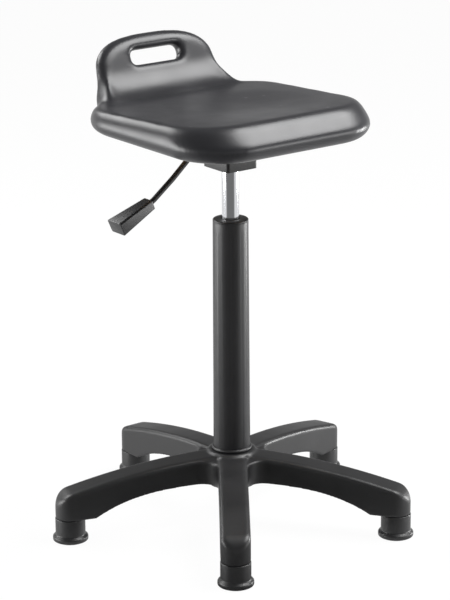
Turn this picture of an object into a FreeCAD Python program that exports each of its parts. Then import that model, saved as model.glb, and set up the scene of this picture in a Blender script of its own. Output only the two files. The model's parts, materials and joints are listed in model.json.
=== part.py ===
"""Laboratory stool: a moulded seat with a low back lip, on a gas lift and a five-arm base with glides.

Millimetres. +Z is up, the floor is z = 0 and the column's axis is the Z axis. The sitter faces -Y.
"""
import FreeCAD, Part
import Sketcher
import math
import os
import re

V = FreeCAD.Vector
UP = V(0, 0, 1)
FULL_TURN = 360

# Driving sizes: name, value, what it measures
SIZES = [
    # Five-arm base
    ("arm_count", 5, "arms of the base"),
    ("base_turn", -36, "turn of the first arm from straight ahead, degrees"),
    ("foot_circle_radius", 280, "column axis to glide axis"),
    ("arm_width", 48, "width of an arm"),
    ("arm_fall", 35, "fall of an arm's top from the hub to the glide axis"),
    ("arm_end_drop", 20, "rounded fall of an arm's end"),
    ("arm_edge_round", 6, "rounding along an arm's upper edges"),
    ("arch_lift", 11, "underside of an arm above the hub's underside"),
    ("arch_power", 3.2, "how late the underside bends down to the glide"),
    ("boss_back", 38, "glide axis back to the inner side of the glide boss"),
    ("arm_wall", 5, "wall of the hollow arm"),
    ("rib_thickness", 3.5, "ribs under an arm"),
    ("rib_count", 3, "cross ribs under an arm"),
    ("hub_radius", 41, "outside of the hub"),
    ("hub_lift", 25, "glide shoulder up to the hub's underside"),
    ("hub_depth", 60, "height of the hub"),
    ("hub_edge", 3, "chamfer round the hub's top"),
    ("hub_collar", 4, "hub top above the arms"),
    ("web_radius", 26, "hollow between two arms, in plan"),
    ("web_drop", 9, "hub top down to the top of the webs"),
    # Glides
    ("glide_height", 40, "floor to the shoulder that the arm rests on"),
    ("glide_body_radius", 24.5, "upper body of a glide"),
    ("glide_foot_radius", 29, "foot flange of a glide"),
    ("glide_foot_height", 12, "height of the foot flange"),
    ("glide_foot_edge", 4, "chamfers of the foot flange"),
    ("glide_pin_radius", 5.5, "steel pin of a glide"),
    ("glide_pin_grip", 24, "pin inside the glide"),
    ("glide_pin_depth", 26, "pin inside the arm"),
    ("glide_pin_edge", 1, "chamfer on the pin's tip"),
    # Column
    ("cover_length", 390, "plastic tube over the column"),
    ("cover_foot_radius", 30.5, "cover at the hub"),
    ("cover_head_radius", 29, "cover at its top"),
    ("cover_wall", 2.5, "wall of the cover"),
    ("cap_flange", 3.5, "thickness of the cap's rim"),
    ("cap_spigot", 9, "depth of the cap inside the cover"),
    ("cap_edge", 1.2, "chamfer round the cap"),
    ("cap_room", 0.4, "cap to sliding cylinder"),
    ("tube_radius", 25, "steel column tube"),
    ("tube_wall", 2, "wall of the column tube"),
    ("tube_tail", 3, "tube below the hub"),
    ("tube_taper", 1, "narrowing of the tube inside the hub"),
    ("tube_floor_thickness", 4, "bottom plate of the tube"),
    ("guide_length", 170, "guide bush in the tube's top"),
    # Gas cylinder
    ("cylinder_radius", 14, "bright cylinder"),
    ("cylinder_wall", 2, "wall of the cylinder"),
    ("cylinder_length", 410, "length of the cylinder"),
    ("cylinder_showing", 85.5, "bright cylinder between cap and mechanism"),
    ("cone_length", 30, "tapered top of the cylinder"),
    ("cone_drop", 0.9, "narrowing of the tapered top"),
    ("valve_length", 22, "valve body in the cylinder's top"),
    ("guide_plug_length", 20, "rod guide in the cylinder's foot"),
    ("guide_plug_inset", 1, "rod guide in from the cylinder's foot"),
    ("seal_length", 6, "rod seal over the rod guide"),
    ("button_radius", 3.4, "release pin"),
    ("button_proud", 4, "release pin above the cylinder"),
    ("button_tail", 4, "release pin below the valve body"),
    ("button_crown", 1.2, "flat crown and chamfer of the release pin"),
    # Rod and thrust bearing
    ("rod_radius", 5, "piston rod"),
    ("rod_length", 385, "rod shoulder to piston"),
    ("rod_tail_radius", 4, "rod through the bearing and the tube's floor"),
    ("rod_tail_length", 7, "rod below the tube"),
    ("rod_groove", 0.9, "depth of the clip groove"),
    ("clip_thickness", 1.5, "retaining clip"),
    ("clip_radius", 8, "outside of the clip"),
    ("clip_drop", 0.3, "clip below the tube"),
    ("piston_height", 20, "piston"),
    ("piston_pin_radius", 3.5, "rod through the piston"),
    ("piston_room", 0.1, "piston to cylinder wall"),
    ("ring_height", 4, "piston seal"),
    ("ring_depth", 2.5, "groove of the piston seal"),
    ("ring_room", 0.05, "piston seal to cylinder wall"),
    ("race_radius", 15, "bearing washers"),
    ("race_thickness", 2, "bearing washers"),
    ("ball_count", 9, "balls in the thrust bearing"),
    ("ball_radius", 2, "balls"),
    ("ball_circle_radius", 10.5, "circle of the balls"),
    ("ball_room", 0.02, "ball to washer"),
    ("cage_thickness", 2, "ball cage"),
    ("cage_width", 7, "ring width of the ball cage"),
    ("cage_room", 0.1, "ball to cage"),
    ("buffer_radius", 12.5, "rubber buffer"),
    ("buffer_height", 14, "rubber buffer"),
    # Mechanism under the seat
    ("box_width", 60, "mechanism box, side to side"),
    ("box_depth", 66, "mechanism box, front to back"),
    ("box_wall", 2.5, "sheet of the mechanism box"),
    ("box_corner", 5, "upright corners of the box"),
    ("socket_radius", 20, "outside of the tapered socket"),
    ("plate_width", 170, "seat plate, side to side"),
    ("plate_depth", 150, "seat plate, front to back"),
    ("plate_thickness", 3, "seat plate"),
    ("plate_corner", 18, "corners of the seat plate"),
    ("bolt_span_width", 130, "bolts, side to side"),
    ("bolt_span_depth", 110, "bolts, front to back"),
    ("bolt_radius", 4, "bolt shank"),
    ("bolt_length", 14, "bolt shank above the plate's underside"),
    ("bolt_head_radius", 7.5, "hexagon head, over its corners"),
    ("bolt_head_height", 5.3, "hexagon head"),
    ("washer_radius", 8.5, "bolt washer"),
    ("washer_thickness", 1.6, "bolt washer"),
    ("hole_room", 0.5, "bolt to plate"),
    ("thread_room", 0.05, "bolt to nut"),
    ("nut_radius", 5.2, "barrel of a tee nut"),
    ("nut_flange_radius", 10, "flange of a tee nut"),
    ("nut_flange_thickness", 1.5, "flange of a tee nut"),
    ("nut_length", 10, "barrel of a tee nut"),
    # Lever
    ("lever_radius", 4.5, "lever rod"),
    ("lever_gap", 0.1, "lever to release pin at rest"),
    ("lever_headroom", 9, "lever rod to seat plate"),
    ("lever_pivot_offset", 20, "pivot to column axis"),
    ("lever_nose", 8, "lever past the column axis"),
    ("lever_elbow", 68, "column axis to the lever's elbow"),
    ("lever_elbow_radius", 18, "bend at the elbow"),
    ("lever_sweep_radius", 45, "long bends of the lever"),
    ("lever_fall", 41, "slope below the elbow, degrees"),
    ("lever_fall_length", 60, "steep run of the lever"),
    ("lever_middle", 37.5, "slope of the middle run, degrees"),
    ("lever_middle_length", 51, "middle run of the lever"),
    ("handle_slope", 24, "slope of the handle, degrees"),
    ("handle_length", 71, "handle"),
    ("handle_root_width", 22, "handle where the rod enters"),
    ("handle_root_depth", 17, "handle where the rod enters"),
    ("handle_tip_width", 36, "handle at its end"),
    ("handle_tip_depth", 23, "handle at its end"),
    ("handle_edge", 3.5, "rounded long edges of the handle"),
    ("handle_grip", 45, "rod inside the handle"),
    ("pin_radius", 2.5, "pivot pin"),
    ("pin_head_radius", 4.5, "heads of the pivot pin"),
    ("pin_head_thickness", 1.5, "heads of the pivot pin"),
    ("spacer_radius", 5, "spacers on the pivot pin"),
    ("spacer_room", 0.3, "spacer to lever"),
    ("slot_room", 1.5, "lever to its slot in the box"),
    # Seat
    ("insert_width", 250, "board in the seat, side to side"),
    ("insert_depth", 230, "board in the seat, front to back"),
    ("insert_thickness", 12, "board in the seat"),
    ("insert_corner", 30, "corners of the board"),
    ("seat_width", 370, "seat, side to side"),
    ("seat_front", 188, "column axis to the seat's front"),
    ("seat_rear", 196, "column axis to the seat's rear"),
    ("front_corner", 95, "front corners in plan"),
    ("rear_corner", 105, "rear corners in plan"),
    ("seat_thickness", 47, "underside to top"),
    ("rim_height", 20, "underside to the widest line"),
    ("edge_inset_top", 15, "rounded upper edge, inwards"),
    ("edge_inset_bottom", 26, "sloping lower edge, inwards"),
    ("front_fall", 20, "slope of the front face, inwards"),
    ("top_tilt", 3, "rise of the seat's top towards the front, degrees"),
    ("tilt_line", 25, "column axis back to the level line of the tilted top"),
    ("rim_tilt_share", 0.3, "part of the top's tilt that the widest line has"),
    ("lip_drop", 7, "foot of the low back below the seat's middle"),
    ("lip_height", 89, "low back above its foot"),
    ("lip_width", 232, "low back, side to side"),
    ("lip_arch", 62, "height of the low back's arched outline"),
    ("lip_fullness", 2.8, "squareness of the arch: 2 is an ellipse"),
    ("lip_front", 173.2, "column axis to the low back's face"),
    ("lip_thickness", 25, "low back"),
    ("lip_lean", 22, "backward lean of the low back, degrees"),
    ("lip_flare", 14, "spread of the low back at its foot, each side"),
    ("lip_blend", 46, "hollow between seat and low back, up and forwards"),
    ("hollow_end_share", 0.3, "part of that hollow's arc left at its ends"),
    ("lip_root", 22, "low back inside the seat"),
    ("lip_edge", 11, "rounded edges of the low back"),
    ("grip_height", 53, "hand slot's middle above the low back's foot"),
    ("grip_width", 98, "hand slot"),
    ("grip_depth", 25, "hand slot"),
    ("grip_corner", 10, "corners of the hand slot"),
    ("grip_bevel", 6, "bevel round the hand slot"),
    # Fits
    ("running_fit", 0.06, "sliding and turning fits, on radius"),
    ("press_fit", 0.02, "pressed and tapered fits, on radius"),
    ("pocket_room", 0.3, "soft seat to what is inside it"),
]

# Heights and radii that follow from the driving sizes
DERIVED = {
    "hub_bottom": "glide_height + hub_lift",
    "hub_top": "hub_bottom + hub_depth",
    "tube_bottom": "hub_bottom - tube_tail",
    "tube_floor": "tube_bottom + tube_floor_thickness",
    "tube_bore": "tube_radius - tube_wall",
    "cover_top": "hub_top + cover_length",
    "column_top": "cover_top + cap_flange",
    "tube_top": "cover_top - cap_spigot",
    "box_bottom": "column_top + cylinder_showing",
    "cylinder_top": "box_bottom + cone_length",
    "cylinder_bottom": "cylinder_top - cylinder_length",
    "cylinder_bore": "cylinder_radius - cylinder_wall",
    "cone_radius": "cylinder_radius - cone_drop",
    "valve_bottom": "cylinder_top - valve_length",
    "button_top": "cylinder_top + button_proud",
    "guide_plug_bottom": "cylinder_bottom + guide_plug_inset",
    "guide_plug_top": "guide_plug_bottom + guide_plug_length",
    "lower_race_top": "tube_floor + race_thickness",
    "ball_height": "lower_race_top + ball_room + ball_radius",
    "upper_race_bottom": "ball_height + ball_radius + ball_room",
    "upper_race_top": "upper_race_bottom + race_thickness",
    "piston_bottom": "upper_race_top + rod_length",
    "piston_top": "piston_bottom + piston_height",
    "piston_radius": "cylinder_bore - piston_room",
    "ring_bottom": "piston_bottom + piston_height / 2 - ring_height / 2",
    "clip_top": "tube_bottom - clip_drop",
    "clip_bottom": "clip_top - clip_thickness",
    "rod_bottom": "tube_bottom - rod_tail_length",
    "groove_radius": "rod_tail_radius - rod_groove",
    "lever_height": "button_top + lever_gap + lever_radius",
    "plate_bottom": "lever_height + lever_radius + lever_headroom",
    "plate_top": "plate_bottom + plate_thickness",
    "insert_top": "plate_top + insert_thickness",
    "seat_top": "plate_top + seat_thickness",
}

doc = FreeCAD.newDocument("laboratory_stool")
sheet = doc.addObject("Spreadsheet::Sheet", "sizes")
for row, (name, number, meaning) in enumerate(SIZES, start=1):
    sheet.set(f"A{row}", meaning)
    sheet.set(f"B{row}", str(number))
    sheet.setAlias(f"B{row}", name)
doc.recompute()

NAMES = {name for name, number, meaning in SIZES}
pieces = []


def formula(text):
    """Turns a formula of plain names into an expression on the sheet's cells."""

    def cell(match):
        word = match.group(0)
        if word in DERIVED:
            return "(" + formula(DERIVED[word]) + ")"
        return "sizes." + word if word in NAMES else word

    return re.sub(r"[a-z_]+", cell, text)


def size(text):
    """The number that a formula of plain names gives now."""
    return float(sheet.evalExpression(formula(text)))


def bind(thing, prop, text):
    thing.setExpression(prop, formula(text))


def place(thing, x="0", y="0", z="0"):
    """Binds a thing's place to formulas."""
    for axis, text in zip("xyz", (x, y, z)):
        if text != "0":
            bind(thing, f"Placement.Base.{axis}", text)
    return thing


def keep(thing, label):
    """Names a finished sub-part, which gets a file of its own."""
    thing.Label = label
    pieces.append(thing)
    return thing


# Sketches and turned pieces


def origin_plane(body, role):
    return next(item for item in body.Origin.OriginFeatures if item.Role == role)


def outline_sketch(body, name, role, outline):
    """A closed sketch of straight sides, each corner held at its two formulas."""
    sketch = body.newObject("Sketcher::SketchObject", name)
    sketch.AttachmentSupport = (origin_plane(body, role), [""])
    sketch.MapMode = "FlatFace"
    corners = [V(size(across), size(along), 0) for across, along in outline]
    count = len(corners)
    for index, corner in enumerate(corners):
        sketch.addGeometry(Part.LineSegment(corner, corners[(index + 1) % count]), False)
    for index in range(count):
        sketch.addConstraint(Sketcher.Constraint("Coincident", index, 2, (index + 1) % count, 1))
    for index, (across, along) in enumerate(outline):
        hold(sketch, index, "DistanceX", across, corners[index].x, -2)
        hold(sketch, index, "DistanceY", along, corners[index].y, -1)
    return sketch


def hold(sketch, corner, direction, text, number, axis):
    """Holds one corner at its distance from the sketch's origin, or on the axis where that is nothing."""
    if abs(number) < 1e-9:
        sketch.addConstraint(Sketcher.Constraint("PointOnObject", corner, 1, axis))
        return
    index = sketch.addConstraint(Sketcher.Constraint(direction, -1, 1, corner, 1, number))
    bind(sketch, f"Constraints[{index}]", text)


def turned(name, outline):
    """A body turned about the Z axis from an outline of radius and height formulas."""
    body = doc.addObject("PartDesign::Body", name)
    sketch = outline_sketch(body, name + "_section", "XZ_Plane", outline)
    revolution = body.newObject("PartDesign::Revolution", name + "_turn")
    revolution.Profile = sketch
    revolution.ReferenceAxis = (sketch, ["V_Axis"])
    revolution.Angle = FULL_TURN
    body.Tip = revolution
    return body


def ring(name, inner, outer, bottom, top):
    """A turned ring of rectangular section."""
    return turned(name, [(inner, bottom), (outer, bottom), (outer, top), (inner, top)])


def rounded_plate(name, width, depth, corner, bottom, thickness, holes, hole_radius):
    """A flat plate with rounded corners and round holes at the given places."""
    body = doc.addObject("PartDesign::Body", name)
    half_width = f"({width}) / 2"
    half_depth = f"({depth}) / 2"
    sides = [("-" + half_width, "-" + half_depth), (half_width, "-" + half_depth),
             (half_width, half_depth), ("-" + half_width, half_depth)]
    sketch = outline_sketch(body, name + "_outline", "XY_Plane", sides)
    bind(sketch, "AttachmentOffset.Base.z", bottom)
    pad = body.newObject("PartDesign::Pad", name + "_pad")
    pad.Profile = sketch
    bind(pad, "Length", thickness)
    doc.recompute()
    upright = [f"Edge{index}" for index, edge in enumerate(pad.Shape.Edges, start=1)
               if abs(edge.tangentAt(edge.FirstParameter).z) > 0.99]
    fillet = body.newObject("PartDesign::Fillet", name + "_corners")
    fillet.Base = (pad, upright)
    bind(fillet, "Radius", corner)
    doc.recompute()
    before = fillet.Shape.Volume
    hole_sketch = body.newObject("Sketcher::SketchObject", name + "_holes")
    hole_sketch.AttachmentSupport = (origin_plane(body, "XY_Plane"), [""])
    hole_sketch.MapMode = "FlatFace"
    bind(hole_sketch, "AttachmentOffset.Base.z", bottom)
    for index, (x, y) in enumerate(holes):
        hole_sketch.addGeometry(Part.Circle(V(size(x), size(y), 0), UP, size(hole_radius)), False)
        for direction, text in (("DistanceX", x), ("DistanceY", y)):
            held = hole_sketch.addConstraint(Sketcher.Constraint(direction, -1, 1, index, 3, size(text)))
            bind(hole_sketch, f"Constraints[{held}]", text)
        held = hole_sketch.addConstraint(Sketcher.Constraint("Radius", index, size(hole_radius)))
        bind(hole_sketch, f"Constraints[{held}]", hole_radius)
    pocket = body.newObject("PartDesign::Pocket", name + "_bores")
    pocket.Profile = hole_sketch
    pocket.Type = "ThroughAll"
    pocket.Reversed = True
    body.Tip = pocket
    doc.recompute()
    bored = len(holes) * math.pi * size(hole_radius) ** 2 * size(thickness)
    if abs(before - body.Shape.Volume - bored) > bored * 0.01:
        raise RuntimeError(f"{name}: its holes are not cut")
    return body


# Primitives and booleans


def cylinder(name, radius, height, x="0", y="0", z="0"):
    thing = doc.addObject("Part::Cylinder", name)
    bind(thing, "Radius", radius)
    bind(thing, "Height", height)
    return place(thing, x, y, z)


def cross_cylinder(name, radius, length, x, y, z):
    """A cylinder along Y, starting at its lowest y."""
    thing = doc.addObject("Part::Cylinder", name)
    thing.Placement = FreeCAD.Placement(V(), FreeCAD.Rotation(V(1, 0, 0), -90))
    bind(thing, "Radius", radius)
    bind(thing, "Height", length)
    return place(thing, x, y, z)


def block(name, width, depth, height, x, y, z):
    """A box given by its sizes and its lowest corner."""
    thing = doc.addObject("Part::Box", name)
    bind(thing, "Length", width)
    bind(thing, "Width", depth)
    bind(thing, "Height", height)
    return place(thing, x, y, z)


def fuse(name, things):
    joined = doc.addObject("Part::MultiFuse", name)
    joined.Shapes = things
    return joined


def cut(name, base, tools):
    made = doc.addObject("Part::Cut", name)
    made.Base = base
    made.Tool = tools[0] if len(tools) == 1 else fuse(name + "_tools", tools)
    return made


def group(name, things):
    """Like pieces that share one file, each its own solid."""
    together = doc.addObject("Part::Compound", name)
    together.Links = things
    return together


# Plain geometry for shapes that have no feature of their own


def rounded_rectangle(half_width, front, rear, front_radius, rear_radius, height):
    """A level outline, symmetric in x, from y = front to y = rear, as four lines and four arcs."""
    diagonal = math.sqrt(0.5)
    edges = []
    start = None
    for side, end, radius, first in ((1, front, front_radius, False), (1, rear, rear_radius, True),
                                     (-1, rear, rear_radius, False), (-1, front, front_radius, True)):
        inward = 1 if end == front else -1
        middle = V(side * (half_width - radius), end + inward * radius, height)
        along_end = V(middle.x, end, height)
        along_side = V(side * half_width, middle.y, height)
        on_arc = middle + V(side * radius * diagonal, -inward * radius * diagonal, 0)
        entry, leave = (along_side, along_end) if first else (along_end, along_side)
        if edges:
            edges.append(Part.LineSegment(edges[-1].EndPoint, entry))
        else:
            start = entry
        edges.append(Part.Arc(entry, on_arc, leave))
    edges.append(Part.LineSegment(edges[-1].EndPoint, start))
    return Part.Wire([edge.toShape() for edge in edges])


def prism(edges, sweep):
    """A solid from a closed run of edges, moved along sweep."""
    return Part.Face(Part.Wire([edge.toShape() for edge in edges])).extrude(sweep)


def solid_piece(name, shape):
    thing = doc.addObject("Part::Feature", name)
    thing.Shape = shape
    return thing


# Base


def arm_angle(index):
    return f"base_turn - 90 + {index} * 360 / arm_count"


def arm_top(along):
    """Height of an arm's top at a distance from the column's axis."""
    return size("hub_top - hub_collar") - size("arm_fall") * (along / size("foot_circle_radius")) ** 2


def arm_underside(along):
    """Height of an arm's arched underside, which comes down to the glide."""
    near, far = size("hub_radius"), size("foot_circle_radius - boss_back")
    run = min(max((along - near) / (far - near), 0), 1)
    spring = size("hub_bottom + arch_lift")
    return spring - (spring - size("glide_height")) * run ** size("arch_power")


def arm_section(along, half, bottom, top):
    """An arm's upright section at a distance from the axis, its upper corners rounded."""
    radius = min(size("arm_edge_round"), half * 0.9)
    diagonal = radius * (1 - math.sqrt(0.5))
    flat = half - radius
    edges = [Part.LineSegment(V(along, -half, bottom), V(along, half, bottom)),
             Part.LineSegment(V(along, half, bottom), V(along, half, top - radius)),
             Part.Arc(V(along, half, top - radius), V(along, half - diagonal, top - diagonal),
                      V(along, flat, top)),
             Part.LineSegment(V(along, flat, top), V(along, -flat, top)),
             Part.Arc(V(along, -flat, top), V(along, diagonal - half, top - diagonal),
                      V(along, -half, top - radius)),
             Part.LineSegment(V(along, -half, top - radius), V(along, -half, bottom))]
    return Part.Wire([edge.toShape() for edge in edges])


def spread(first, last, count):
    """Evenly spaced numbers from first to last."""
    return [first + (last - first) * step / (count - 1) for step in range(count)]


def arm_blank():
    """One solid arm along +X: its arched run, the boss over the glide and the rounded end."""
    half = size("arm_width / 2")
    axis = size("foot_circle_radius")
    boss = axis - size("boss_back")
    run = [arm_section(along, half, arm_underside(along), arm_top(along))
           for along in spread(size("tube_radius"), boss, 7)]
    block_over_glide = [arm_section(along, half, arm_underside(along), arm_top(along))
                        for along in spread(boss, axis, 3)]
    end = []
    for turn in spread(0, math.radians(82), 6):
        along = axis + half * math.sin(turn)
        drop = size("arm_end_drop") * (1 - math.cos(turn))
        end.append(arm_section(along, half * math.cos(turn), arm_underside(along), arm_top(along) - drop))
    lofts = [Part.makeLoft(sections, True, False) for sections in (run, block_over_glide, end)]
    return lofts[0].fuse(lofts[1]).fuse(lofts[2])


def arm_hollow():
    """The moulding's hollow under one arm, less the ribs that stand in it."""
    half = size("arm_width / 2 - arm_wall")
    near = size("hub_radius + web_radius / 2")
    far = size("foot_circle_radius - boss_back - arm_wall / 2")
    sections = []
    for along in spread(near, far, 5):
        roof = arm_top(along) - size("arm_wall")
        corners = [V(along, -half, 0), V(along, half, 0), V(along, half, roof), V(along, -half, roof)]
        sections.append(Part.makePolygon(corners + corners[:1]))
    thick = size("rib_thickness")
    ribs = [Part.makeBox(far - near, thick, size("hub_top"), V(near, -thick / 2, 0))]
    count = int(size("rib_count"))
    for index in range(1, count + 1):
        along = near + (far - near) * index / (count + 1)
        ribs.append(Part.makeBox(thick, 2 * half, size("hub_top"), V(along - thick / 2, -half, 0)))
    return Part.makeLoft(sections, True, False).cut(ribs)


def hub_blank():
    """The hub with the webs that run out between the arms."""
    count = int(size("arm_count"))
    half_gap = math.pi / count
    half = size("arm_width / 2")
    hollow = size("web_radius")
    middle = (half + hollow) / math.sin(half_gap)
    along = middle * math.cos(half_gap)
    edges = []
    first = None
    for index in range(count):
        turn = math.radians(size(arm_angle(index)))
        start = V(along * math.cos(turn) - half * math.sin(turn),
                  along * math.sin(turn) + half * math.cos(turn), 0)
        gap = turn + half_gap
        deep = V((middle - hollow) * math.cos(gap), (middle - hollow) * math.sin(gap), 0)
        after = turn + 2 * half_gap
        end = V(along * math.cos(after) + half * math.sin(after),
                along * math.sin(after) - half * math.cos(after), 0)
        if edges:
            edges.append(Part.LineSegment(edges[-1].EndPoint, start))
        else:
            first = start
        edges.append(Part.Arc(start, deep, end))
    edges.append(Part.LineSegment(edges[-1].EndPoint, first))
    bottom = size("hub_bottom + arch_lift")
    web = prism(edges, V(0, 0, size("hub_top - web_drop") - bottom)).translated(V(0, 0, bottom))
    hub = Part.makeCylinder(size("hub_radius"), size("hub_depth"), V(0, 0, size("hub_bottom")))
    top = size("hub_top") - 1e-6
    rim = [edge for edge in hub.Edges if len(edge.Vertexes) == 1 and edge.Vertexes[0].Z > top]
    return hub.makeChamfer(size("hub_edge"), rim), web


def make_base():
    """The nylon five-arm base, hollow and ribbed underneath, with a tapered bore for the column."""
    hub, web = hub_blank()
    arm, hollow = arm_blank(), arm_hollow()
    pin_hole = Part.makeCylinder(size("glide_pin_radius + press_fit"),
                                 size("glide_pin_depth + glide_pin_edge"),
                                 V(size("foot_circle_radius"), 0, size("glide_height")))
    arms, cuts = [], []
    for index in range(int(size("arm_count"))):
        turn = size(arm_angle(index))
        arms.append(arm.rotated(V(), UP, turn))
        cuts += [hollow.rotated(V(), UP, turn), pin_hole.rotated(V(), UP, turn)]
    taper = size("tube_taper / (hub_top - tube_bottom)")
    narrow = size("tube_radius - tube_taper + press_fit")
    below, above = size("tube_bottom"), size("hub_top")
    rise = above - below
    cuts.append(Part.makeCone(narrow, narrow + taper * rise, rise, V(0, 0, below)))
    base = hub.fuse(web)
    for arm in arms:
        base = base.fuse(arm)
    base = base.removeSplitter().cut(cuts)
    keep(solid_piece("star_base", base), "star_base")


def make_glides():
    """Five glides, each a moulded foot on a steel pin pressed into its arm."""
    pin = "glide_pin_radius"
    foot, edge = "glide_foot_radius", "glide_foot_edge"
    pin_foot = "glide_height - glide_pin_grip"
    pin_tip = "glide_height + glide_pin_depth"
    shape = [("0", "0"), (f"{foot} - {edge}", "0"), (foot, f"{edge} / 2"),
             (foot, f"glide_foot_height - {edge}"), ("glide_body_radius", "glide_foot_height"),
             ("glide_body_radius", "glide_height"), (f"{pin} + press_fit", "glide_height"),
             (f"{pin} + press_fit", pin_foot), ("0", pin_foot)]
    stem = [("0", pin_foot), (pin, pin_foot), (pin, f"{pin_tip} - glide_pin_edge"),
            (f"{pin} - glide_pin_edge", pin_tip), ("0", pin_tip)]
    for index in range(int(size("arm_count"))):
        x = f"foot_circle_radius * cos({arm_angle(index)})"
        y = f"foot_circle_radius * sin({arm_angle(index)})"
        for name, outline in (("glide", shape), ("glide_pin", stem)):
            label = f"{name}_{index + 1}"
            keep(place(turned(label, outline), x, y), label)


def make_column():
    """Steel column tube in the hub, its guide bush, and the plastic cover with its cap."""
    through = "rod_tail_radius + running_fit"
    tail = "tube_radius - tube_taper"
    keep(turned("column_tube", [
        (through, "tube_bottom"), (tail, "tube_bottom"), ("tube_radius", "hub_top"),
        ("tube_radius", "tube_top"), ("tube_bore", "tube_top"), ("tube_bore", "hub_top"),
        ("tube_bore - tube_taper", "tube_floor"), (through, "tube_floor")]), "column_tube")
    keep(ring("guide_bush", "cylinder_radius + running_fit", "tube_bore - press_fit",
              "tube_top - guide_length", "tube_top"), "guide_bush")
    keep(turned("column_cover", [
        ("cover_foot_radius - cover_wall", "hub_top"), ("cover_foot_radius", "hub_top"),
        ("cover_head_radius", "cover_top"), ("cover_head_radius - cover_wall", "cover_top")]),
        "column_cover")
    bore = "cylinder_radius + cap_room"
    spigot = "cover_head_radius - cover_wall - press_fit"
    keep(turned("column_cap", [
        (bore, "tube_top"), (spigot, "tube_top"), (spigot, "cover_top"),
        ("cover_head_radius", "cover_top"), ("cover_head_radius", "column_top - cap_edge"),
        ("cover_head_radius - cap_edge", "column_top"), (bore, "column_top")]), "column_cap")


def make_bearing():
    """Thrust bearing on the tube's floor, the rubber buffer over it and the clip under it."""
    tail = "rod_tail_radius + running_fit"
    keep(ring("lower_race", tail, "race_radius", "tube_floor", "lower_race_top"), "lower_race")
    keep(ring("upper_race", tail, "race_radius", "upper_race_bottom", "upper_race_top"), "upper_race")
    keep(ring("buffer", "rod_radius + running_fit", "buffer_radius", "upper_race_top",
              "upper_race_top + buffer_height"), "buffer")
    flat = ring("cage_ring", "ball_circle_radius - cage_width / 2", "ball_circle_radius + cage_width / 2",
                "ball_height - cage_thickness / 2", "ball_height + cage_thickness / 2")
    balls, seats = [], []
    for index in range(int(size("ball_count"))):
        x = f"ball_circle_radius * cos({index} * 360 / ball_count)"
        y = f"ball_circle_radius * sin({index} * 360 / ball_count)"
        ball = doc.addObject("Part::Sphere", f"ball_{index + 1}")
        bind(ball, "Radius", "ball_radius")
        balls.append(place(ball, x, y, "ball_height"))
        seats.append(cylinder(f"ball_seat_{index + 1}", "ball_radius + cage_room", "cage_thickness * 2",
                              x, y, "ball_height - cage_thickness"))
    keep(group("bearing_balls", balls), "bearing_balls")
    keep(cut("ball_cage", flat, seats), "ball_cage")
    whole = ring("clip_ring", "groove_radius + press_fit", "clip_radius", "clip_bottom", "clip_top")
    mouth = block("clip_mouth", "clip_radius + clip_thickness", "2 * (groove_radius - press_fit)",
                  "3 * clip_thickness", "0", "press_fit - groove_radius", "clip_bottom - clip_thickness")
    keep(cut("rod_clip", whole, [mouth]), "rod_clip")


def make_gas_cylinder():
    """Piston rod and piston in the bright cylinder, which is sealed by a rod guide and a valve."""
    tail, pin = "rod_tail_radius", "piston_pin_radius"
    keep(turned("piston_rod", [
        ("0", "rod_bottom"), (tail, "rod_bottom"), (tail, "clip_bottom"), ("groove_radius", "clip_bottom"),
        ("groove_radius", "clip_top"), (tail, "clip_top"), (tail, "upper_race_top"),
        ("rod_radius", "upper_race_top"), ("rod_radius", "piston_bottom"), (pin, "piston_bottom"),
        (pin, "piston_top"), ("0", "piston_top")]), "piston_rod")
    bore = f"{pin} + press_fit"
    groove = "piston_radius - ring_depth"
    keep(turned("piston", [
        (bore, "piston_bottom"), ("piston_radius", "piston_bottom"), ("piston_radius", "ring_bottom"),
        (groove, "ring_bottom"), (groove, "ring_bottom + ring_height"),
        ("piston_radius", "ring_bottom + ring_height"), ("piston_radius", "piston_top"),
        (bore, "piston_top")]), "piston")
    keep(ring("piston_seal", f"{groove} + press_fit", "cylinder_bore - ring_room", "ring_bottom + press_fit",
              "ring_bottom + ring_height - press_fit"), "piston_seal")
    keep(turned("gas_cylinder", [
        ("cylinder_bore", "cylinder_bottom"), ("cylinder_radius", "cylinder_bottom"),
        ("cylinder_radius", "box_bottom"), ("cone_radius", "cylinder_top"),
        ("cylinder_bore", "cylinder_top")]), "gas_cylinder")
    plug = "cylinder_bore - press_fit"
    rod_hole = "rod_radius + running_fit"
    keep(ring("rod_guide", rod_hole, plug, "guide_plug_bottom", "guide_plug_top"), "rod_guide")
    keep(ring("rod_seal", rod_hole, plug, "guide_plug_top", "guide_plug_top + seal_length"), "rod_seal")
    keep(ring("valve_body", "button_radius + running_fit", plug, "valve_bottom", "cylinder_top"),
         "valve_body")
    tail = "valve_bottom - button_tail"
    keep(turned("release_pin", [
        ("0", tail), ("button_radius", tail), ("button_radius", "button_top - button_crown"),
        ("button_crown", "button_top"), ("0", "button_top")]), "release_pin")


# Mechanism and lever


def bolt_places():
    """The four bolts' x and y, as formulas."""
    return [(f"{x} * bolt_span_width / 2", f"{y} * bolt_span_depth / 2")
            for x in ("-1", "1") for y in ("-1", "1")]


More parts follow.
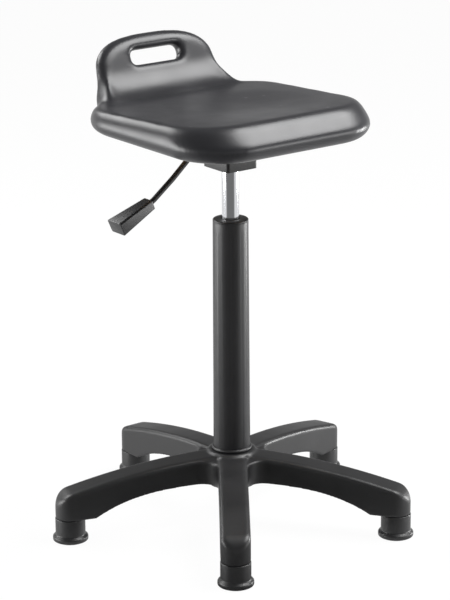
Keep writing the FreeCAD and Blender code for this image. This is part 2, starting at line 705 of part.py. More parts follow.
def make_mechanism():
    """Seat plate, the folded box under it, and the tapered socket that takes the cylinder."""
    keep(rounded_plate("seat_plate", "plate_width", "plate_depth", "plate_corner", "plate_bottom",
                       "plate_thickness", bolt_places(), "bolt_radius + hole_room"), "seat_plate")
    keep(turned("taper_socket", [
        ("cylinder_radius + press_fit", "box_bottom"), ("socket_radius", "box_bottom"),
        ("socket_radius", "cylinder_top"), ("cone_radius + press_fit", "cylinder_top")]), "taper_socket")
    outside = block("box_outside", "box_width", "box_depth", "plate_bottom - (box_bottom)",
                    "-box_width / 2", "-box_depth / 2", "box_bottom")
    doc.recompute()
    upright = [index for index, edge in enumerate(outside.Shape.Edges, start=1)
               if abs(edge.tangentAt(edge.FirstParameter).z) > 0.99]
    rounded = doc.addObject("Part::Fillet", "box_rounded")
    rounded.Base = outside
    rounded.Edges = [(index, size("box_corner"), size("box_corner")) for index in upright]
    inside = block("box_inside", "box_width - 2 * box_wall", "box_depth - 2 * box_wall",
                   "plate_bottom - (box_bottom)", "box_wall - box_width / 2", "box_wall - box_depth / 2",
                   "box_bottom + box_wall")
    socket_hole = cylinder("socket_hole", "socket_radius + press_fit", "3 * box_wall", "0", "0",
                           "box_bottom - box_wall")
    slot = block("lever_slot", "3 * box_wall", "2 * (lever_radius + slot_room)",
                 "plate_bottom - (lever_height) + lever_radius + slot_room", "-box_width / 2 - box_wall",
                 "-lever_radius - slot_room", "lever_height - lever_radius - slot_room")
    pin_hole = cross_cylinder("pin_hole", "pin_radius + press_fit", "box_depth + 2 * box_wall",
                              "-lever_pivot_offset", "-box_depth / 2 - box_wall", "lever_height")
    keep(cut("mechanism_box", rounded, [inside, socket_hole, slot, pin_hole]), "mechanism_box")


def make_fasteners():
    """Four bolts with washers, from below, into tee nuts in the seat's board."""
    bolts, washers, nuts = [], [], []
    for index, (x, y) in enumerate(bolt_places(), start=1):
        head = doc.addObject("Part::Prism", f"bolt_head_{index}")
        bind(head, "Circumradius", "bolt_head_radius")
        bind(head, "Height", "bolt_head_height")
        place(head, x, y, "plate_bottom - washer_thickness - bolt_head_height")
        shank = cylinder(f"bolt_shank_{index}", "bolt_radius", "bolt_length + washer_thickness", x, y,
                         "plate_bottom - washer_thickness")
        bolts.append(fuse(f"bolt_{index}", [head, shank]))
        disc = cylinder(f"washer_disc_{index}", "washer_radius", "washer_thickness", x, y,
                        "plate_bottom - washer_thickness")
        eye = cylinder(f"washer_eye_{index}", "bolt_radius + hole_room", "3 * washer_thickness", x, y,
                       "plate_bottom - 2 * washer_thickness")
        washers.append(cut(f"washer_{index}", disc, [eye]))
        barrel = cylinder(f"nut_barrel_{index}", "nut_radius", "nut_length", x, y, "insert_top - nut_length")
        flange = cylinder(f"nut_flange_{index}", "nut_flange_radius", "nut_flange_thickness", x, y,
                          "insert_top")
        thread = cylinder(f"nut_thread_{index}", "bolt_radius + thread_room", "2 * nut_length", x, y,
                          "insert_top - 1.5 * nut_length")
        nuts.append(cut(f"nut_{index}", fuse(f"nut_blank_{index}", [barrel, flange]), [thread]))
    keep(group("plate_bolts", bolts), "plate_bolts")
    keep(group("plate_washers", washers), "plate_washers")
    keep(group("tee_nuts", nuts), "tee_nuts")


def lever_corners():
    """The lever's corner points in the XZ plane, from its nose to the end of its handle."""
    height = size("lever_height")
    corners = [V(size("lever_nose"), 0, height), V(-size("lever_elbow"), 0, height)]
    for slope, length in (("lever_fall", "lever_fall_length"), ("lever_middle", "lever_middle_length"),
                          ("handle_slope", "handle_length")):
        turn = math.radians(size(slope))
        corners.append(corners[-1] + V(-math.cos(turn), 0, -math.sin(turn)) * size(length))
    return corners


def bent_route(corners, radii):
    """A wire of straight runs through corners, joined by tangent arcs of the given radii."""
    edges = []
    start = corners[0]
    for before, corner, after, radius in zip(corners, corners[1:], corners[2:], radii):
        back = (before - corner).normalize()
        ahead = (after - corner).normalize()
        half = back.getAngle(ahead) / 2
        entry = corner + back * (radius / math.tan(half))
        leave = corner + ahead * (radius / math.tan(half))
        middle = corner + (back + ahead).normalize() * (radius / math.sin(half) - radius)
        edges += [Part.LineSegment(start, entry), Part.Arc(entry, middle, leave)]
        start = leave
    edges.append(Part.LineSegment(start, corners[-1]))
    return Part.Wire([edge.toShape() for edge in edges])


def make_lever():
    """The release lever: a bent rod on a cross pin between spacers, with a flat handle on its end."""
    corners = lever_corners()
    along = (corners[-1] - corners[-2]).normalize()
    last_bend = math.radians(size("lever_middle - handle_slope"))
    root = corners[-2] + along * (size("lever_sweep_radius") * math.tan(last_bend / 2))
    rod_end = root + along * size("handle_grip")
    bends = [size("lever_elbow_radius"), size("lever_sweep_radius"), size("lever_sweep_radius")]
    route = solid_piece("lever_route", bent_route(corners[:-1] + [rod_end], bends))
    circle = doc.addObject("Part::Circle", "lever_section")
    circle.Placement = FreeCAD.Placement(corners[0], FreeCAD.Rotation(UP, V(-1, 0, 0)))
    bind(circle, "Radius", "lever_radius")
    sweep = doc.addObject("Part::Sweep", "lever_sweep")
    sweep.Sections = [circle]
    sweep.Spine = (route, [f"Edge{index}" for index in range(1, len(route.Shape.Edges) + 1)])
    sweep.Solid = True
    eye = cross_cylinder("lever_eye", "pin_radius + running_fit", "4 * lever_radius", "-lever_pivot_offset",
                         "-2 * lever_radius", "lever_height")
    keep(cut("lever_rod", sweep, [eye]), "lever_rod")
    keep(solid_piece("lever_handle", handle_shape(root, along)), "lever_handle")

    shank = cross_cylinder("pin_shank", "pin_radius", "box_depth + 2 * pin_head_thickness",
                           "-lever_pivot_offset", "-box_depth / 2 - pin_head_thickness", "lever_height")
    heads = [cross_cylinder(f"pin_head_{name}", "pin_head_radius", "pin_head_thickness",
                            "-lever_pivot_offset", y, "lever_height")
             for name, y in (("front", "-box_depth / 2 - pin_head_thickness"), ("rear", "box_depth / 2"))]
    keep(fuse("pivot_pin", [shank] + heads), "pivot_pin")
    spacers = []
    length = "box_depth / 2 - box_wall - lever_radius - 2 * spacer_room"
    for name, y in (("front", "spacer_room + box_wall - box_depth / 2"),
                    ("rear", "lever_radius + spacer_room")):
        sleeve = cross_cylinder(f"sleeve_{name}", "spacer_radius", length, "-lever_pivot_offset", y,
                                "lever_height")
        bore = cross_cylinder(f"sleeve_bore_{name}", "pin_radius + press_fit", f"2 * ({length})",
                              "-lever_pivot_offset", f"{y} - ({length}) / 2", "lever_height")
        spacers.append(cut(f"spacer_{name}", sleeve, [bore]))
    keep(group("pin_spacers", spacers), "pin_spacers")


def handle_shape(root, along):
    """The handle: lofted from its narrow root to its wide end, bored for the rod."""
    down = along.cross(V(0, 1, 0))
    sections = []
    for distance, width, depth in ((0, "handle_root_width", "handle_root_depth"),
                                   (size("handle_length"), "handle_tip_width", "handle_tip_depth")):
        radius = size("handle_edge")
        wire = rounded_rectangle(size(width) / 2, -size(depth) / 2, size(depth) / 2, radius, radius, 0)
        turn = FreeCAD.Matrix()
        for row, axis in enumerate("xyz"):
            values = (getattr(V(0, 1, 0), axis), getattr(down, axis), getattr(along, axis),
                      getattr(root + along * distance, axis))
            for column, number in enumerate(values, start=1):
                setattr(turn, f"A{row + 1}{column}", number)
        sections.append(wire.transformGeometry(turn))
    grip = Part.makeLoft(sections, True, True)
    bore = Part.makeCylinder(size("lever_radius + press_fit"), size("handle_grip") * 2,
                             root - along * size("handle_grip"), along)
    return grip.cut(bore)


# Seat


def seat_pan():
    """The seat proper: outlines that draw in over a rounded upper and a sloping lower edge.

    The underside is level, the front face slopes and the top rises towards the front.
    """
    steps = 4
    half, front, rear = size("seat_width / 2"), size("seat_front"), size("seat_rear")
    widest, rim_share = size("plate_top + rim_height"), size("rim_tilt_share")
    outlines = []
    for step in range(-steps, steps + 1):
        turn = math.radians(90 * step / steps)
        drawn_in = 1 - math.cos(turn)
        if step < 0:
            inset, fall, depth = size("edge_inset_bottom"), 0, size("rim_height")
            tilt_share = rim_share * (1 + math.sin(turn))
        else:
            inset, fall = size("edge_inset_top"), size("front_fall")
            depth = size("seat_thickness - rim_height")
            tilt_share = rim_share + (1 - rim_share) * math.sin(turn)
        inset *= drawn_in
        height = widest + depth * math.sin(turn)
        outline = rounded_rectangle(
            half - inset, inset + fall * math.sin(turn) - front, rear - inset,
            size("front_corner") - inset, size("rear_corner") - inset, height)
        outline.rotate(V(0, size("tilt_line"), height), V(1, 0, 0), -size("top_tilt") * tilt_share)
        outlines.append(outline)
    return Part.makeLoft(outlines, True, False)


def lip_point(x, height, depth):
    """A point of the leaning low back: height above its foot, depth behind its face."""
    lean = math.radians(size("lip_lean"))
    back = height * math.tan(lean) + depth / math.cos(lean)
    return V(x, size("lip_front") + back, size("seat_top - lip_drop") + height)


def lip_outline(depth, inset):
    """The low back's arched outline at a depth behind its face, drawn in by the inset."""
    half, top, arch = size("lip_width / 2") - inset, size("lip_height") - inset, size("lip_arch") - inset
    power = 2 / size("lip_fullness")
    side = [(half, height) for height in spread(-size("lip_root"), top - arch, 5)]
    for turn in spread(0, math.radians(90), 10)[1:-1]:
        side.append((half * math.cos(turn) ** power, top - arch + arch * math.sin(turn) ** power))
    flared = []
    for x, height in side:
        share = min(1, max(0, 1 - height / size("lip_blend")))
        flared.append((x + size("lip_flare") * share ** 2, height))
    points = [lip_point(x, height, depth) for x, height in flared] + [lip_point(0, top, depth)]
    points += [lip_point(-x, height, depth) for x, height in reversed(flared)]
    curve = Part.BSplineCurve()
    curve.interpolate(points)
    return Part.Wire([curve.toShape(), Part.LineSegment(points[-1], points[0]).toShape()])


def lip_body():
    """The low back: arched outlines from its face to its rear, with rounded edges."""
    thick, edge = size("lip_thickness"), size("lip_edge")
    quarter = [(edge * (1 - math.cos(turn)), edge * (1 - math.sin(turn)))
               for turn in spread(0, math.radians(90), 4)]
    stations = quarter + [(thick - depth, inset) for depth, inset in reversed(quarter)]
    return Part.makeLoft([lip_outline(depth, inset) for depth, inset in stations], True, False)


def lip_hollow():
    """The concave blend between the seat's top and the low back's face, cut lower towards its ends."""
    half, reach = size("lip_width / 2"), size("lip_blend")
    lean = math.radians(size("lip_lean"))
    ahead, rise = V(0, -1, 0), V(0, math.sin(lean), math.cos(lean))
    half_angle = ahead.getAngle(rise) / 2
    radius, arc = reach * math.tan(half_angle), math.pi - 2 * half_angle
    sunk, back = V(0, 0, -size("lip_edge")), V(0, size("lip_thickness / 2"), 0)
    inner, outer = half - size("lip_edge"), half + size("lip_flare")
    end_share = size("hollow_end_share")
    sections = []
    for x, share in ((-outer, end_share), (-inner, 1), (inner, 1), (outer, end_share)):
        corner = lip_point(x, 0, 0)
        low = corner + ahead * reach
        centre = low + V(0, 0, radius)
        middle, top = [centre + V(0, math.sin(turn), -math.cos(turn)) * radius
                       for turn in (arc * share / 2, arc * share)]
        edges = [Part.Arc(low, middle, top), Part.LineSegment(top, top + back),
                 Part.LineSegment(top + back, corner + back + sunk),
                 Part.LineSegment(corner + back + sunk, low + sunk), Part.LineSegment(low + sunk, low)]
        sections.append(Part.Wire([edge.toShape() for edge in edges]))
    return Part.makeLoft(sections, True, True)


def grip_cutter():
    """The hand slot, square to the leaning low back, with a bevel at both faces."""
    lean = math.radians(size("lip_lean"))
    thick = size("lip_thickness")
    middle = V(0, size("lip_front") + thick / 2 / math.cos(lean) + size("grip_height") * math.tan(lean),
               size("seat_top - lip_drop + grip_height"))
    bevel = size("grip_bevel")
    sections = []
    for offset, grow in ((-thick, bevel + thick / 2), (bevel - thick / 2, 0), (thick / 2 - bevel, 0),
                         (thick, bevel + thick / 2)):
        wire = rounded_rectangle(size("grip_width") / 2 + grow, -size("grip_depth") / 2 - grow,
                                 size("grip_depth") / 2 + grow, size("grip_corner") + grow,
                                 size("grip_corner") + grow, offset)
        sections.append(wire)
    cutter = Part.makeLoft(sections, True, True)
    cutter.rotate(V(), V(1, 0, 0), -90 - size("lip_lean"))
    cutter.translate(middle)
    return cutter


def make_seat():
    """The soft moulded seat with its low back and hand slot, and the board moulded into it."""
    keep(rounded_plate("seat_board", "insert_width", "insert_depth", "insert_corner", "plate_top",
                       "insert_thickness", bolt_places(), "nut_radius + press_fit"), "seat_board")
    room = size("pocket_room")
    wide, deep = size("insert_width") / 2 + room, size("insert_depth") / 2 + room
    corner = size("insert_corner") + room
    outline = rounded_rectangle(wide, -deep, deep, corner, corner, size("plate_top") - room)
    pockets = [Part.Face(outline).extrude(V(0, 0, size("insert_thickness") + 2 * room))]
    for x, y in bolt_places():
        pockets.append(Part.makeCylinder(size("nut_flange_radius") + room,
                                         size("nut_flange_thickness") + room,
                                         V(size(x), size(y), size("insert_top"))))
    seat = seat_pan().fuse(lip_body()).fuse(lip_hollow()).removeSplitter()
    seat = seat.cut([grip_cutter()] + pockets)
    keep(solid_piece("seat_pad", seat), "seat_pad")


def write_files():
    """Checks every object, then writes one file for each piece."""
    doc.recompute()
    for thing in doc.Objects:
        if "Invalid" in thing.State or "Error" in thing.State:
            raise RuntimeError(f"{thing.Label}: {thing.State}")
    for piece in pieces:
        if piece.Shape.isNull() or not piece.Shape.isValid() or not piece.Shape.Solids:
            raise RuntimeError(f"{piece.Label}: its shape is not a valid solid")
    os.makedirs("parts", exist_ok=True)
    for piece in pieces:
        piece.Shape.exportStep(f"parts/{piece.Label}.step")
        print(piece.Label, len(piece.Shape.Solids), round(piece.Shape.Volume / 1000, 2), "cm3")


make_base()
make_glides()
make_column()
make_bearing()
make_gas_cylinder()
make_mechanism()
make_fasteners()
make_lever()
make_seat()
write_files()
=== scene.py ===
"""Laboratory stool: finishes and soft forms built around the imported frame.

Metres. +Z is up, the floor is z = 0, the column's axis is the Z axis and the sitter faces -Y.
"""
import json
import math

import bpy
from mathutils import Euler, Matrix, Vector


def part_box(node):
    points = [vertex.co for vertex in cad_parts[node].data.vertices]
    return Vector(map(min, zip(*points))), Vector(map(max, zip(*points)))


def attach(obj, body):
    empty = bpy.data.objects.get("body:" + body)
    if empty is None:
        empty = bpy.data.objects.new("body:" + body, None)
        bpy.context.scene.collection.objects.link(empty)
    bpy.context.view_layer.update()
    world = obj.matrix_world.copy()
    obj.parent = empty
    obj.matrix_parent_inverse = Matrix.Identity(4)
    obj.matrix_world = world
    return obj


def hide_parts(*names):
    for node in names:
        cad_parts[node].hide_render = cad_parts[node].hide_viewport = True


MM = 0.001
CAMERA_AZIMUTH = math.radians(-37)
WHITE = (1, 1, 1, 1)

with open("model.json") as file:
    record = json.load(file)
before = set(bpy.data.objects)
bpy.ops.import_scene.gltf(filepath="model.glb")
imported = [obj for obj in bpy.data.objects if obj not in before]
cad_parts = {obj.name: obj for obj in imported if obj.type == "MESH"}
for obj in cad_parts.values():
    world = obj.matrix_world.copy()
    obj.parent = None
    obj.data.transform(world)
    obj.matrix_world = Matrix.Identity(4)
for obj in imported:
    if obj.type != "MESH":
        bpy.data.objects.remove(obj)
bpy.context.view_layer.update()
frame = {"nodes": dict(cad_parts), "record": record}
nodes = frame["nodes"]
record = frame["record"]
body_of = {node: body for body, members in record["behaviour"]["bodies"].items() for node in members}
slot_of = {part["node"]: part["material_slot"] for part in record["subparts"]}


# Materials

def linear(hex_colour):
    """An sRGB hex colour as linear RGBA."""
    channels = [int(hex_colour[i:i + 2], 16) / 255 for i in (1, 3, 5)]
    return [c / 12.92 if c <= 0.04045 else ((c + 0.055) / 1.055) ** 2.4 for c in channels] + [1.0]


def add(tree, kind, links=None, values=None, **settings):
    """Adds a node with its settings, its socket values and the links that come into it."""
    made = tree.nodes.new(kind)
    for name, value in settings.items():
        setattr(made, name, value)
    for socket, value in (values or {}).items():
        made.inputs[socket].default_value = value
    for socket, source in (links or {}).items():
        tree.links.new(source, made.inputs[socket])
    return made


def per_metre(millimetres):
    """The texture scale that repeats a pattern at this real size."""
    return 1000 / millimetres


def start_material(name):
    """An empty node material with its shader, its tree and object coordinates."""
    material = bpy.data.materials.new(name)
    material.use_nodes = True
    tree = material.node_tree
    tree.nodes.clear()
    shader = add(tree, "ShaderNodeBsdfPrincipled")
    add(tree, "ShaderNodeOutputMaterial", {"Surface": shader.outputs["BSDF"]})
    place = add(tree, "ShaderNodeTexCoord").outputs["Object"]
    return material, tree, shader, place


def two_tone(tree, factor, dark, light):
    """A colour that goes from dark to light with the factor."""
    colour = add(tree, "ShaderNodeMix", {"Factor": factor}, data_type="RGBA")
    colour.inputs["A"].default_value = linear(dark)
    colour.inputs["B"].default_value = linear(light)
    return colour.outputs["Result"]


def uneven_gloss(tree, shader, noise, smooth, dull):
    """Roughness that goes from smooth to dull over the middle of a noise."""
    gloss = add(tree, "ShaderNodeMapRange", {"Value": noise},
                {"From Min": 0.3, "From Max": 0.7, "To Min": smooth, "To Max": dull})
    tree.links.new(gloss.outputs["Result"], shader.inputs["Roughness"])


def raise_grain(tree, shader, height, strength, depth_mm):
    """A fine relief on the surface."""
    bump = add(tree, "ShaderNodeBump", {"Height": height}, {"Strength": strength, "Distance": depth_mm * MM})
    tree.links.new(bump.outputs["Normal"], shader.inputs["Normal"])


def painted_glint_specks(tree, place, plain):
    """The plain colour with painted highlights: pale spots, about 4 mm across, in three of ten 30 mm cells
    of level faces, standing in for glints off small bumps.
    """
    cell_mm, core, rim, strength = 30, 0.03, 0.12, 0.34
    bare_share, level_from = 0.7, 0.96
    plan = add(tree, "ShaderNodeMapping", {"Vector": place}, {"Scale": (1, 1, 0)})
    cells = add(tree, "ShaderNodeTexVoronoi", {"Vector": plan.outputs["Vector"]},
                {"Scale": per_metre(cell_mm)})
    near = add(tree, "ShaderNodeMapRange", {"Value": cells.outputs["Distance"]},
               {"From Min": core, "From Max": rim, "To Min": strength, "To Max": 0.0})
    chance = add(tree, "ShaderNodeSeparateColor", {"Color": cells.outputs["Color"]})
    few = add(tree, "ShaderNodeMath", {0: chance.outputs["Red"]}, {1: bare_share}, operation="GREATER_THAN")
    facing = add(tree, "ShaderNodeSeparateXYZ", {"Vector": place.node.outputs["Normal"]})
    level = add(tree, "ShaderNodeMath", {0: facing.outputs["Z"]}, {1: level_from}, operation="GREATER_THAN")
    chosen = add(tree, "ShaderNodeMath", {0: few.outputs["Value"], 1: level.outputs["Value"]},
                 operation="MULTIPLY")
    glinting = add(tree, "ShaderNodeMath", {0: near.outputs["Result"], 1: chosen.outputs["Value"]},
               operation="MULTIPLY")
    # Painted highlight: the pale colour mixed in here stands in for glints off small bumps, not for wear.
    with_glints = add(tree, "ShaderNodeMix", {"Factor": glinting.outputs["Value"], "A": plain}, data_type="RGBA")
    with_glints.inputs["B"].default_value = linear("#8a8a8c")
    return with_glints.outputs["Result"]


def self_skinned_polyurethane():
    """Foam moulded with its own skin: near black, with a soft sheen, a pebbled grain and pale specks painted
    in as highlights.

    The real grain is about 0.6 mm: it is drawn at 1.6 mm so that it shows.
    """
    cloud_mm, grain_mm, grain_depth_mm, grain_strength = 45, 1.6, 0.3, 0.12
    smooth, dull = 0.32, 0.38
    material, tree, shader, place = start_material("self_skinned_polyurethane")
    shader.inputs["IOR"].default_value = 1.48
    clouds = add(tree, "ShaderNodeTexNoise", {"Vector": place},
                 {"Scale": per_metre(cloud_mm), "Detail": 4.0})
    plain = two_tone(tree, clouds.outputs["Fac"], "#1f1f22", "#29292c")
    # The base colour carries painted highlights: pale specks on level faces.
    tree.links.new(painted_glint_specks(tree, place, plain), shader.inputs["Base Color"])
    uneven_gloss(tree, shader, clouds.outputs["Fac"], smooth, dull)
    grain = add(tree, "ShaderNodeTexVoronoi", {"Vector": place}, {"Scale": per_metre(grain_mm)})
    raise_grain(tree, shader, grain.outputs["Distance"], grain_strength, grain_depth_mm)
    return material


def moulded_plastic(name, dark, light, gloss, grain_mm, grain_depth_mm):
    """Injection-moulded plastic: an even colour with faint flow clouds and the mould's fine grain."""
    cloud_mm, gloss_spread, grain_strength = 60, 0.04, 0.25
    material, tree, shader, place = start_material(name)
    shader.inputs["IOR"].default_value = 1.5
    clouds = add(tree, "ShaderNodeTexNoise", {"Vector": place},
                 {"Scale": per_metre(cloud_mm), "Detail": 3.0})
    plain = two_tone(tree, clouds.outputs["Fac"], dark, light)
    tree.links.new(plain, shader.inputs["Base Color"])
    uneven_gloss(tree, shader, clouds.outputs["Fac"], gloss - gloss_spread, gloss + gloss_spread)
    grain = add(tree, "ShaderNodeTexNoise", {"Vector": place},
                {"Scale": per_metre(grain_mm), "Detail": 2.0, "Roughness": 0.6})
    raise_grain(tree, shader, grain.outputs["Fac"], grain_strength, grain_depth_mm)
    return material


def black_powder_coat():
    """Powder coat baked on steel: black, semi-matt, with a fine orange peel."""
    peel_mm, peel_depth_mm, peel_strength = 1.4, 0.15, 0.15
    material, tree, shader, place = start_material("black_powder_coat")
    shader.inputs["IOR"].default_value = 1.5
    shader.inputs["Roughness"].default_value = 0.42
    peel = add(tree, "ShaderNodeTexNoise", {"Vector": place}, {"Scale": per_metre(peel_mm), "Detail": 2.0})
    plain = two_tone(tree, peel.outputs["Fac"], "#0e0e0f", "#151516")
    tree.links.new(plain, shader.inputs["Base Color"])
    raise_grain(tree, shader, peel.outputs["Fac"], peel_strength, peel_depth_mm)
    return material


def plain_metal(name, colour, gloss, uneven):
    """Machined or plated metal: fine marks round the axis, which break up its reflections."""
    mark_mm, mark_stretch = 0.8, (0.05, 0.05, 1.0)
    material, tree, shader, place = start_material(name)
    shader.inputs["Metallic"].default_value = 1.0
    shader.inputs["Base Color"].default_value = linear(colour)
    stretch = add(tree, "ShaderNodeMapping", {"Vector": place}, {"Scale": mark_stretch})
    marks = add(tree, "ShaderNodeTexNoise", {"Vector": stretch.outputs["Vector"]},
                {"Scale": per_metre(mark_mm), "Detail": 2.0})
    uneven_gloss(tree, shader, marks.outputs["Fac"], gloss * (1 - uneven), gloss * (1 + uneven))
    return material


def birch_plywood():
    """Birch plywood: pale, with a straight grain of slightly darker lines."""
    grain_mm, grain_stretch = 5, (1.0, 0.06, 1.0)
    material, tree, shader, place = start_material("birch_plywood")
    shader.inputs["Roughness"].default_value = 0.6
    stretch = add(tree, "ShaderNodeMapping", {"Vector": place}, {"Scale": grain_stretch})
    grain = add(tree, "ShaderNodeTexNoise", {"Vector": stretch.outputs["Vector"]},
                {"Scale": per_metre(grain_mm), "Detail": 5.0})
    plain = two_tone(tree, grain.outputs["Fac"], "#a9804f", "#d2b387")
    tree.links.new(plain, shader.inputs["Base Color"])
    return material


finishes = {
    "soft_skin": self_skinned_polyurethane(),
    "nylon": moulded_plastic("glass_filled_nylon", "#161617", "#1c1c1d", 0.42, 1.5, 0.12),
    "foot_plastic": moulded_plastic("glide_polypropylene", "#161617", "#1c1c1d", 0.4, 1.3, 0.1),
    "cover_plastic": moulded_plastic("column_polypropylene", "#171718", "#1d1d1f", 0.42, 1.2, 0.008),
    "handle_plastic": moulded_plastic("handle_polypropylene", "#19191a", "#202022", 0.36, 1.2, 0.05),
    "white_plastic": moulded_plastic("natural_acetal", "#dcdad2", "#e6e4dd", 0.4, 1.5, 0.03),
    "black_rubber": moulded_plastic("black_rubber", "#1d1d1d", "#242424", 0.7, 1.0, 0.08),
    "black_steel": black_powder_coat(),
    "chrome": plain_metal("bright_chrome", "#dedfe2", 0.09, 0.03),
    "zinc_steel": plain_metal("zinc_plated_steel", "#b9bcc0", 0.32, 0.25),
    "bearing_steel": plain_metal("polished_bearing_steel", "#c2c4c6", 0.14, 0.1),
    "ground_steel": plain_metal("ground_steel", "#b5b7b9", 0.22, 0.2),
    "alloy": plain_metal("turned_aluminium", "#cfd1d3", 0.3, 0.25),
    "brass": plain_metal("turned_brass", "#c8a860", 0.28, 0.2),
    "plywood": birch_plywood(),
}


# Pieces

def copy_of(node, name):
    """A new piece with a merged copy of a node's mesh, alone selected and active."""
    merge_distance = 0.002 * MM
    bpy.ops.object.select_all(action="DESELECT")
    piece = bpy.data.objects.new(name, nodes[node].data.copy())
    bpy.context.scene.collection.objects.link(piece)
    piece.select_set(True)
    bpy.context.view_layer.objects.active = piece
    bpy.ops.mesh.customdata_custom_splitnormals_clear()
    bpy.ops.object.mode_set(mode="EDIT")
    bpy.ops.mesh.select_all(action="SELECT")
    bpy.ops.mesh.remove_doubles(threshold=merge_distance)
    bpy.ops.object.mode_set(mode="OBJECT")
    return piece


def apply(piece, kind, **settings):
    """Adds a modifier to the active piece and applies it."""
    modifier = piece.modifiers.new(kind.lower(), kind)
    for name, value in settings.items():
        setattr(modifier, name, value)
    bpy.ops.object.modifier_apply(modifier=modifier.name)


def smooth_part(piece, share_of, rounds):
    """Smooths the active piece where the share that share_of gives a vertex is above 0."""
    group = piece.vertex_groups.new(name="smoothed")
    for vertex in piece.data.vertices:
        share = share_of(vertex)
        if share > 0:
            group.add([vertex.index], min(1, share), "REPLACE")
    apply(piece, "SMOOTH", factor=0.5, iterations=rounds, vertex_group=group.name)
    piece.vertex_groups.clear()


def dress(piece, node):
    """The piece takes the node's place, body and finish."""
    piece.data.materials.clear()
    piece.data.materials.append(finishes[slot_of[node]])
    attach(piece, body_of[node])
    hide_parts(node)


def eased_piece(node, name, edge_mm):
    """A hard piece with its edges eased by a small round, as moulding or pressing leaves them."""
    flat_within, edge_from, shaded_within = math.radians(0.6), math.radians(32), math.radians(35)
    piece = copy_of(node, name)
    bpy.ops.object.mode_set(mode="EDIT")
    bpy.ops.mesh.dissolve_limited(angle_limit=flat_within)
    bpy.ops.object.mode_set(mode="OBJECT")
    apply(piece, "BEVEL", width=edge_mm * MM, segments=3, limit_method="ANGLE", angle_limit=edge_from,
          use_clamp_overlap=True)
    bpy.ops.object.shade_smooth_by_angle(angle=shaded_within)
    dress(piece, node)


def soften_lip_ends(piece):
    """Softens the ends of the low back, where they run down into the seat's rear corners."""
    reach, gain, rounds = 58 * MM, 1.6, 45
    ends = [Vector((side * 126 * MM, 182 * MM, 702 * MM)) for side in (-1, 1)]

    def nearness(vertex):
        return gain * (1 - min((vertex.co - end).length for end in ends) / reach)

    smooth_part(piece, nearness, rounds)


def make_seat_skin():
    """The moulded seat: one soft skin over pan and low back, slightly dished where the sitter sits."""
    dish_depth, dish_half_width, dish_half_length = 5 * MM, 150 * MM, 140 * MM
    dish_middle = -20 * MM
    above_board = 10 * MM
    piece = copy_of("seat_pad", "seat_skin")
    apply(piece, "REMESH", mode="VOXEL", voxel_size=3.2 * MM, adaptivity=0.0)
    apply(piece, "SMOOTH", factor=0.5, iterations=14)
    board_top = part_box("seat_board")[1].z
    for vertex in piece.data.vertices:
        across = vertex.co.x / dish_half_width
        along = (vertex.co.y - dish_middle) / dish_half_length
        reach = across * across + along * along
        if reach < 1 and vertex.co.z > board_top + above_board:
            vertex.co.z -= dish_depth * (1 - reach) ** 2
    soften_lip_ends(piece)
    bpy.ops.object.shade_smooth()
    dress(piece, "seat_pad")


def make_base_moulding():
    """The five-arm base: one moulding whose arms, hub and webs run into each other with small fillets.

    Its upper edges have a wider round than the thin lower ones.
    """
    lowest_facing, least_share, rounds = -0.2, 0.3, 22
    piece = copy_of("star_base", "base_moulding")
    apply(piece, "REMESH", mode="VOXEL", voxel_size=1.5 * MM, adaptivity=0.0)
    apply(piece, "SMOOTH", factor=0.5, iterations=9)

    def upwardness(vertex):
        return least_share + max(0, vertex.normal.z) if vertex.normal.z > lowest_facing else 0

    smooth_part(piece, upwardness, rounds)
    apply(piece, "DECIMATE", ratio=0.3)
    bpy.ops.object.shade_smooth()
    dress(piece, "star_base")


def make_cover_bead():
    """The rolled bead at the foot of the column's cover, where it meets the hub."""
    bead = 3 * MM
    low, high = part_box("column_cover")
    foot_radius = (high.x - low.x) / 2
    bpy.ops.object.select_all(action="DESELECT")
    bpy.ops.mesh.primitive_torus_add(location=(0, 0, low.z + bead), major_radius=foot_radius,
                                     minor_radius=bead, major_segments=120, minor_segments=20)
    bpy.ops.object.transform_apply(location=True)
    piece = bpy.context.object
    piece.name = "cover_bead"
    bpy.ops.object.shade_smooth()
    piece.data.materials.append(finishes[slot_of["column_cover"]])
    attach(piece, body_of["column_cover"])


make_seat_skin()
make_base_moulding()
make_cover_bead()
for number in range(1, 6):
    eased_piece(f"glide_{number}", f"glide_moulding_{number}", 1.2)
eased_piece("column_cover", "cover_tube", 0.5)
eased_piece("column_cap", "cover_cap", 0.6)
eased_piece("gas_cylinder", "chrome_tube", 0.5)
eased_piece("mechanism_box", "folded_box", 1.0)
eased_piece("seat_plate", "pressed_plate", 0.8)
eased_piece("lever_handle", "handle_moulding", 1.5)
eased_piece("plate_bolts", "hexagon_bolts", 0.4)
eased_piece("plate_washers", "bolt_washers", 0.2)
eased_piece("pivot_pin", "headed_pin", 0.4)
for node, obj in nodes.items():
    obj.data.materials.clear()
    obj.data.materials.append(finishes[slot_of[node]])


# Floor, light and camera

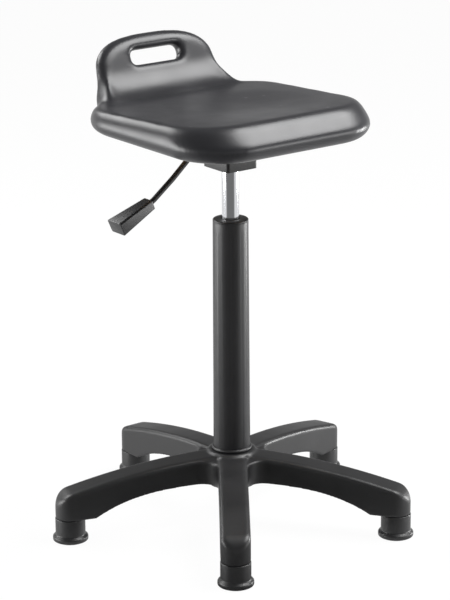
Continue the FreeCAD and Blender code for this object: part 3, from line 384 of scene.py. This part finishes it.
def make_floor():
    """A pale floor: near white to the camera, a matt ground for the stool's shadow.

    Reflections find it bright behind the stool and dark on the photographer's side.
    """
    width, drop, camera_share = 40, 0.2 * MM, 0.96
    bright, dark, dark_from, dark_to = 0.9, 0.2, 0.45, 0.72
    photographer = (math.sin(CAMERA_AZIMUTH), -math.cos(CAMERA_AZIMUTH), 0)
    bpy.ops.object.select_all(action="DESELECT")
    bpy.ops.mesh.primitive_plane_add(size=width, location=(0, 0, -drop))
    floor = bpy.context.object
    floor.name = "floor"
    material = bpy.data.materials.new("white_floor")
    material.use_nodes = True
    tree = material.node_tree
    tree.nodes.clear()
    matt = add(tree, "ShaderNodeBsdfDiffuse", values={"Color": linear("#f4f4f4")})
    place = add(tree, "ShaderNodeTexCoord").outputs["Object"]
    bearing = add(tree, "ShaderNodeVectorMath", {0: place}, operation="NORMALIZE")
    nearing = add(tree, "ShaderNodeVectorMath", {0: bearing.outputs["Vector"]}, {1: photographer},
                  operation="DOT_PRODUCT")
    mirrored = add(tree, "ShaderNodeMapRange", {"Value": nearing.outputs["Value"]},
                   {"From Min": dark_from, "From Max": dark_to, "To Min": bright, "To Max": dark})
    path = add(tree, "ShaderNodeLightPath")
    to_camera, to_mirror = path.outputs["Is Camera Ray"], path.outputs["Is Glossy Ray"]
    strength = add(tree, "ShaderNodeMath", {0: to_camera, 1: mirrored.outputs["Result"]},
                   operation="MAXIMUM")
    glow = add(tree, "ShaderNodeEmission", {"Strength": strength.outputs["Value"]})
    share = add(tree, "ShaderNodeMath", {0: to_camera, 2: to_mirror}, {1: camera_share},
                operation="MULTIPLY_ADD")
    mixed = add(tree, "ShaderNodeMixShader",
                {"Fac": share.outputs["Value"], 1: matt.outputs["BSDF"], 2: glow.outputs["Emission"]})
    add(tree, "ShaderNodeOutputMaterial", {"Surface": mixed.outputs["Shader"]})
    floor.data.materials.append(material)


def make_world():
    """A dim room with a white wall round its foot, and white where the camera looks past the floor."""
    wall_light, room_light, wall_from, wall_to = 0.9, 0.2, 0.04, 0.2
    world = bpy.data.worlds.new("studio")
    bpy.context.scene.world = world
    world.use_nodes = True
    tree = world.node_tree
    tree.nodes.clear()
    path = add(tree, "ShaderNodeLightPath")
    direction = add(tree, "ShaderNodeTexCoord").outputs["Generated"]
    rise = add(tree, "ShaderNodeSeparateXYZ", {"Vector": direction})
    wall = add(tree, "ShaderNodeMapRange", {"Value": rise.outputs["Z"]},
               {"From Min": wall_from, "From Max": wall_to, "To Min": wall_light, "To Max": room_light})
    light = add(tree, "ShaderNodeBackground", {"Strength": wall.outputs["Result"]}, {"Color": WHITE})
    white = add(tree, "ShaderNodeBackground", values={"Color": WHITE, "Strength": 1.0})
    mixed = add(tree, "ShaderNodeMixShader",
                {"Fac": path.outputs["Is Camera Ray"], 1: light.outputs["Background"],
                 2: white.outputs["Background"]})
    add(tree, "ShaderNodeOutputWorld", {"Surface": mixed.outputs["Shader"]})


def make_softbox(name, place, aim, width, height, power):
    """A rectangular softbox at a place, facing its aim."""
    lamp = bpy.data.lights.new(name, "AREA")
    lamp.shape = "RECTANGLE"
    lamp.size, lamp.size_y = width, height
    lamp.energy = power
    holder = bpy.data.objects.new(name, lamp)
    bpy.context.scene.collection.objects.link(holder)
    holder.location = place
    holder.rotation_euler = (Vector(aim) - Vector(place)).to_track_quat("-Z", "Y").to_euler()


def make_camera():
    """The photograph's camera, fitted to the stool's glides, column and seat in a 450 by 600 image."""
    distance, height = 4.0, 1.6223
    pitch, roll = 0.301, -0.006
    image_height, focal_pixels, centre_shift = 600, 2572.8, 6.03
    lens = bpy.data.cameras.new("camera")
    lens.sensor_width = 36
    lens.lens = focal_pixels / image_height * lens.sensor_width
    lens.shift_x = -centre_shift / image_height
    camera = bpy.data.objects.new("camera", lens)
    bpy.context.scene.collection.objects.link(camera)
    camera.location = (distance * math.sin(CAMERA_AZIMUTH), -distance * math.cos(CAMERA_AZIMUTH), height)
    level = Euler((math.pi / 2 - pitch, 0, CAMERA_AZIMUTH)).to_matrix()
    camera.rotation_euler = (level @ Matrix.Rotation(roll, 3, "Z")).to_euler()
    bpy.context.scene.camera = camera


make_floor()
make_world()
make_softbox("overhead_softbox", (1.3, -0.8, 2.6), (0, 0, 0.7), width=1.9, height=1.7, power=116)
make_softbox("front_right_softbox", (1.6, -2.2, 0.45), (0, 0, 0.6), width=1.1, height=0.7, power=16)
make_softbox("rear_softbox", (-0.9, 2.1, 2.0), (0, 0, 0.7), width=1.8, height=1.2, power=50)
make_softbox("left_strip", (-1.8, 1.2, 0.36), (0, 0, 0.36), width=1.8, height=0.66, power=36)
make_softbox("right_strip", (2.1, -0.6, 0.3), (0, 0, 0.3), width=0.6, height=0.6, power=30)
make_camera()
bpy.context.scene.view_settings.view_transform = "Standard"
